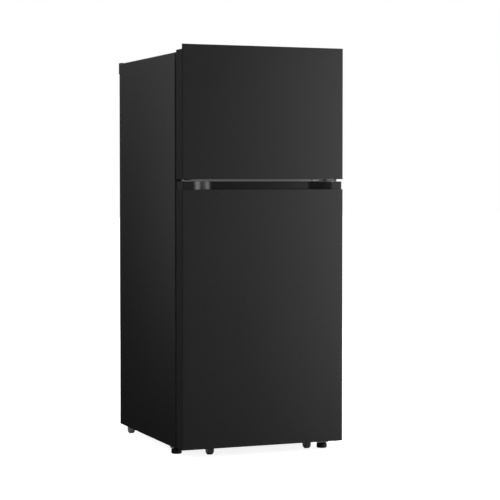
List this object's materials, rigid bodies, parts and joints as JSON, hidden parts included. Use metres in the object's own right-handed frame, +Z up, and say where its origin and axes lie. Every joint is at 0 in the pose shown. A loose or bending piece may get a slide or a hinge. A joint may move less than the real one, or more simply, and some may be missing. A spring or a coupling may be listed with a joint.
{
  "type": "top freezer refrigerator",
  "caption": "Two-door black steel refrigerator with a freezer above, right-hand hinges, pocket grips, full interior and cooling parts.",
  "frame": {"origin": "centre of the footprint, on the floor", "axes": "+Z up, -Y towards the doors, +X to the hinge side"},
  "size_m": [0.711, 0.844, 1.68],
  "materials": {
    "black_steel": "satin",
    "zinc_steel": "satin",
    "insulation_foam": "matte",
    "white_liner": "satin",
    "grey_rail": "satin",
    "black_plastic": "satin",
    "gloss_black": "gloss",
    "roller_plastic": "satin",
    "hinge_steel": "satin",
    "black_enamel": "gloss",
    "black_rubber": "matte",
    "aluminium_fin": "satin",
    "white_plastic": "satin",
    "white_wire": "satin",
    "shelf_glass": "polished",
    "clear_plastic": "gloss"
  },
  "bodies": {
    "cabinet": {"outer_wrapper": "black_steel", "back_panel": "zinc_steel", "cabinet_foam": "insulation_foam", "freezer_liner": "white_liner", "fridge_liner": "white_liner", "mullion_rail": "grey_rail", "base_plate": "zinc_steel", "rear_trim": "black_plastic", "leg_brackets": "zinc_steel", "top_hinge": "hinge_steel", "top_hinge_cover": "black_plastic", "middle_hinge": "hinge_steel", "bottom_hinge": "hinge_steel", "hinge_screws": "hinge_steel", "compressor": "black_enamel", "compressor_mounts": "black_rubber", "condenser_coil": "black_enamel", "condenser_fan_mount": "black_enamel", "drain_pan": "zinc_steel", "drain_tube": "white_plastic", "machine_cover": "zinc_steel", "power_inlet": "black_plastic", "evaporator": "aluminium_fin", "defrost_heater": "aluminium_fin", "evaporator_fan_mount": "white_plastic", "freezer_back_cover": "white_plastic", "freezer_shelf": "white_wire", "ice_maker_frame": "white_plastic", "fridge_air_duct": "white_plastic", "lamp_housing": "white_plastic", "shelf_glass": "shelf_glass", "shelf_frames": "white_plastic"},
    "foot_left": {"foot_left": "black_plastic"},
    "foot_right": {"foot_right": "black_plastic"},
    "front_rollers": {"front_rollers": "roller_plastic"},
    "rear_rollers": {"rear_rollers": "roller_plastic"},
    "condenser_fan": {"condenser_fan": "roller_plastic"},
    "evaporator_fan": {"evaporator_fan": "white_plastic"},
    "ice_tray": {"ice_tray": "clear_plastic"},
    "ice_bin": {"ice_bin": "clear_plastic"},
    "temperature_dial": {"temperature_dial": "white_plastic"},
    "chill_tray": {"chill_tray": "clear_plastic"},
    "crisper": {"crisper": "clear_plastic"},
    "freezer_door": {"freezer_door_skin": "black_steel", "freezer_door_foam": "insulation_foam", "freezer_door_liner": "white_liner", "freezer_door_top_cap": "black_plastic", "freezer_door_bottom_cap": "black_plastic", "freezer_door_gasket": "black_rubber", "freezer_door_bins": "clear_plastic"},
    "fridge_door": {"fridge_door_skin": "black_steel", "fridge_door_foam": "insulation_foam", "fridge_door_liner": "white_liner", "fridge_door_top_cap": "gloss_black", "fridge_door_bottom_cap": "black_plastic", "fridge_door_gasket": "black_rubber", "fridge_bin_lower": "clear_plastic", "fridge_bin_middle": "clear_plastic", "dairy_bin": "clear_plastic"},
    "dairy_lid": {"dairy_lid": "clear_plastic"}
  },
  "joints": [
    {"name": "freezer_door_hinge", "type": "hinge", "parent": "cabinet", "child": "freezer_door", "pos_m": [0.3375, -0.386, 1.4], "axis": [0, 0, 1], "range_deg": [0, 120]},
    {"name": "fridge_door_hinge", "type": "hinge", "parent": "cabinet", "child": "fridge_door", "pos_m": [0.3375, -0.386, 0.6], "axis": [0, 0, 1], "range_deg": [0, 120]},
    {"name": "dairy_lid_hinge", "type": "hinge", "parent": "fridge_door", "child": "dairy_lid", "pos_m": [0, -0.339, 0.974], "axis": [1, 0, 0], "range_deg": [0, 80]},
    {"name": "crisper_slide", "type": "slide", "parent": "cabinet", "child": "crisper", "axis": [0, -1, 0], "range_m": [0, 0.108]},
    {"name": "chill_tray_slide", "type": "slide", "parent": "cabinet", "child": "chill_tray", "axis": [0, -1, 0], "range_m": [0, 0.116]},
    {"name": "ice_bin_slide", "type": "slide", "parent": "cabinet", "child": "ice_bin", "axis": [0, -1, 0], "range_m": [0, 0.1]},
    {"name": "ice_tray_twist", "type": "hinge", "parent": "cabinet", "child": "ice_tray", "pos_m": [0, -0.07, 1.53], "axis": [1, 0, 0], "range_deg": [0, 150], "stiffness_Nm_per_rad": 0.25},
    {"name": "temperature_dial_turn", "type": "hinge", "parent": "cabinet", "child": "temperature_dial", "pos_m": [0.095, -0.22, 1.085], "axis": [0, 1, 0], "range_deg": [0, 270]},
    {"name": "foot_left_turn", "type": "hinge", "parent": "cabinet", "child": "foot_left", "pos_m": [-0.3145, -0.232, 0.01], "axis": [0, 0, 1], "continuous": true},
    {"name": "foot_right_turn", "type": "hinge", "parent": "cabinet", "child": "foot_right", "pos_m": [0.3075, -0.318, 0.01], "axis": [0, 0, 1], "continuous": true},
    {"name": "front_rollers_spin", "type": "hinge", "parent": "cabinet", "child": "front_rollers", "pos_m": [0, -0.32, 0.018], "axis": [1, 0, 0], "continuous": true},
    {"name": "rear_rollers_spin", "type": "hinge", "parent": "cabinet", "child": "rear_rollers", "pos_m": [0, 0.358, 0.018], "axis": [1, 0, 0], "continuous": true},
    {"name": "condenser_fan_spin", "type": "hinge", "parent": "cabinet", "child": "condenser_fan", "pos_m": [-0.085, 0.3015, 0.1652], "axis": [1, 0, 0], "continuous": true},
    {"name": "evaporator_fan_spin", "type": "hinge", "parent": "cabinet", "child": "evaporator_fan", "pos_m": [0, 0.309, 1.502], "axis": [0, 1, 0], "continuous": true}
  ]
}
